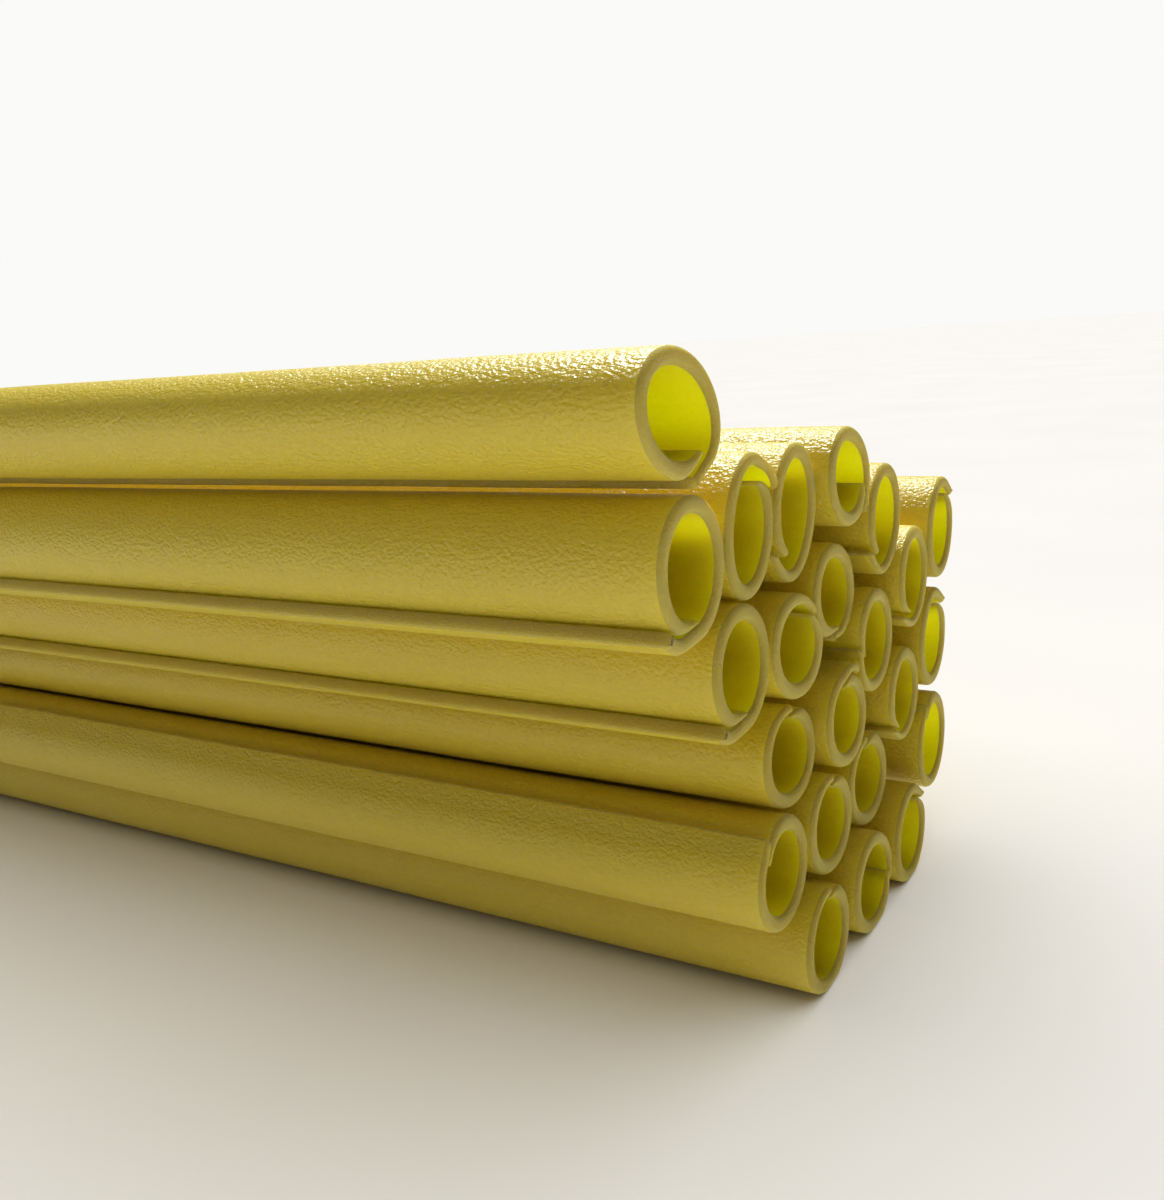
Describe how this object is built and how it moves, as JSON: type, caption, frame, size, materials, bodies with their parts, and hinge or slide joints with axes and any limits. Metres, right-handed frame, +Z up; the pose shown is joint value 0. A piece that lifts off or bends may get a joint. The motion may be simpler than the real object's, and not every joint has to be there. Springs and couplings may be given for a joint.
{
  "type": "stack of slit foam tubes",
  "caption": "Loose stack of long yellow polyethylene-foam sleeves, each split along its length with overlapping lips so that it snaps over a pipe.",
  "frame": {"origin": "on the floor, under the middle of the stack's bounding box", "axes": "+X along the tubes towards their seen ends, +Y across the stack away from the camera, +Z up"},
  "size_m": [2.024, 0.4462, 0.3718],
  "materials": {
    "yellow_foam": "soft closed-cell foam with a pebbled skin"
  },
  "bodies": {
    "tube_row1_1": {"foam_tube_row1_1": "yellow_foam"},
    "tube_row1_2": {"foam_tube_row1_2": "yellow_foam"},
    "tube_row1_3": {"foam_tube_row1_3": "yellow_foam"},
    "tube_row2_1": {"foam_tube_row2_1": "yellow_foam"},
    "tube_row2_2": {"foam_tube_row2_2": "yellow_foam"},
    "tube_row2_3": {"foam_tube_row2_3": "yellow_foam"},
    "tube_row2_4": {"foam_tube_row2_4": "yellow_foam"},
    "tube_row3_1": {"foam_tube_row3_1": "yellow_foam"},
    "tube_row3_2": {"foam_tube_row3_2": "yellow_foam"},
    "tube_row3_3": {"foam_tube_row3_3": "yellow_foam"},
    "tube_row3_4": {"foam_tube_row3_4": "yellow_foam"},
    "tube_row4_1": {"foam_tube_row4_1": "yellow_foam"},
    "tube_row4_2": {"foam_tube_row4_2": "yellow_foam"},
    "tube_row4_3": {"foam_tube_row4_3": "yellow_foam"},
    "tube_row4_4": {"foam_tube_row4_4": "yellow_foam"},
    "tube_row4_5": {"foam_tube_row4_5": "yellow_foam"},
    "tube_row5_1": {"foam_tube_row5_1": "yellow_foam"},
    "tube_row5_2": {"foam_tube_row5_2": "yellow_foam"},
    "tube_row5_3": {"foam_tube_row5_3": "yellow_foam"},
    "tube_row5_4": {"foam_tube_row5_4": "yellow_foam"},
    "tube_row5_5": {"foam_tube_row5_5": "yellow_foam"},
    "tube_row5_6": {"foam_tube_row5_6": "yellow_foam"},
    "tube_row6_1": {"foam_tube_row6_1": "yellow_foam"}
  },
  "joints": [
    {"name": "row1_1_slide", "type": "slide", "parent": "tube_row1_2", "child": "tube_row1_1", "axis": [1, 0, 0], "range_m": [0, 1]},
    {"name": "row1_3_slide", "type": "slide", "parent": "tube_row1_2", "child": "tube_row1_3", "axis": [1, 0, 0], "range_m": [0, 1]},
    {"name": "row2_1_slide", "type": "slide", "parent": "tube_row1_2", "child": "tube_row2_1", "axis": [1, 0, 0], "range_m": [0, 1]},
    {"name": "row2_2_slide", "type": "slide", "parent": "tube_row1_2", "child": "tube_row2_2", "axis": [1, 0, 0], "range_m": [0, 1]},
    {"name": "row2_3_slide", "type": "slide", "parent": "tube_row1_2", "child": "tube_row2_3", "axis": [1, 0, 0], "range_m": [0, 1]},
    {"name": "row2_4_slide", "type": "slide", "parent": "tube_row1_2", "child": "tube_row2_4", "axis": [1, 0, 0], "range_m": [0, 1]},
    {"name": "row3_1_slide", "type": "slide", "parent": "tube_row1_2", "child": "tube_row3_1", "axis": [1, 0, 0], "range_m": [0, 1]},
    {"name": "row3_2_slide", "type": "slide", "parent": "tube_row1_2", "child": "tube_row3_2", "axis": [1, 0, 0], "range_m": [0, 1]},
    {"name": "row3_3_slide", "type": "slide", "parent": "tube_row1_2", "child": "tube_row3_3", "axis": [1, 0, 0], "range_m": [0, 1]},
    {"name": "row3_4_slide", "type": "slide", "parent": "tube_row1_2", "child": "tube_row3_4", "axis": [1, 0, 0], "range_m": [0, 1]},
    {"name": "row4_1_slide", "type": "slide", "parent": "tube_row1_2", "child": "tube_row4_1", "axis": [1, 0, 0], "range_m": [0, 1]},
    {"name": "row4_2_slide", "type": "slide", "parent": "tube_row1_2", "child": "tube_row4_2", "axis": [1, 0, 0], "range_m": [0, 1]},
    {"name": "row4_3_slide", "type": "slide", "parent": "tube_row1_2", "child": "tube_row4_3", "axis": [1, 0, 0], "range_m": [0, 1]},
    {"name": "row4_4_slide", "type": "slide", "parent": "tube_row1_2", "child": "tube_row4_4", "axis": [1, 0, 0], "range_m": [0, 1]},
    {"name": "row4_5_slide", "type": "slide", "parent": "tube_row1_2", "child": "tube_row4_5", "axis": [1, 0, 0], "range_m": [0, 1]},
    {"name": "row5_1_slide", "type": "slide", "parent": "tube_row1_2", "child": "tube_row5_1", "axis": [1, 0, 0], "range_m": [0, 1]},
    {"name": "row5_2_slide", "type": "slide", "parent": "tube_row1_2", "child": "tube_row5_2", "axis": [1, 0, 0], "range_m": [0, 1]},
    {"name": "row5_3_slide", "type": "slide", "parent": "tube_row1_2", "child": "tube_row5_3", "axis": [1, 0, 0], "range_m": [0, 1]},
    {"name": "row5_4_slide", "type": "slide", "parent": "tube_row1_2", "child": "tube_row5_4", "axis": [1, 0, 0], "range_m": [0, 1]},
    {"name": "row5_5_slide", "type": "slide", "parent": "tube_row1_2", "child": "tube_row5_5", "axis": [1, 0, 0], "range_m": [0, 1]},
    {"name": "row5_6_slide", "type": "slide", "parent": "tube_row1_2", "child": "tube_row5_6", "axis": [1, 0, 0], "range_m": [0, 1]},
    {"name": "row6_1_slide", "type": "slide", "parent": "tube_row1_2", "child": "tube_row6_1", "axis": [1, 0, 0], "range_m": [0, 1]}
  ]
}
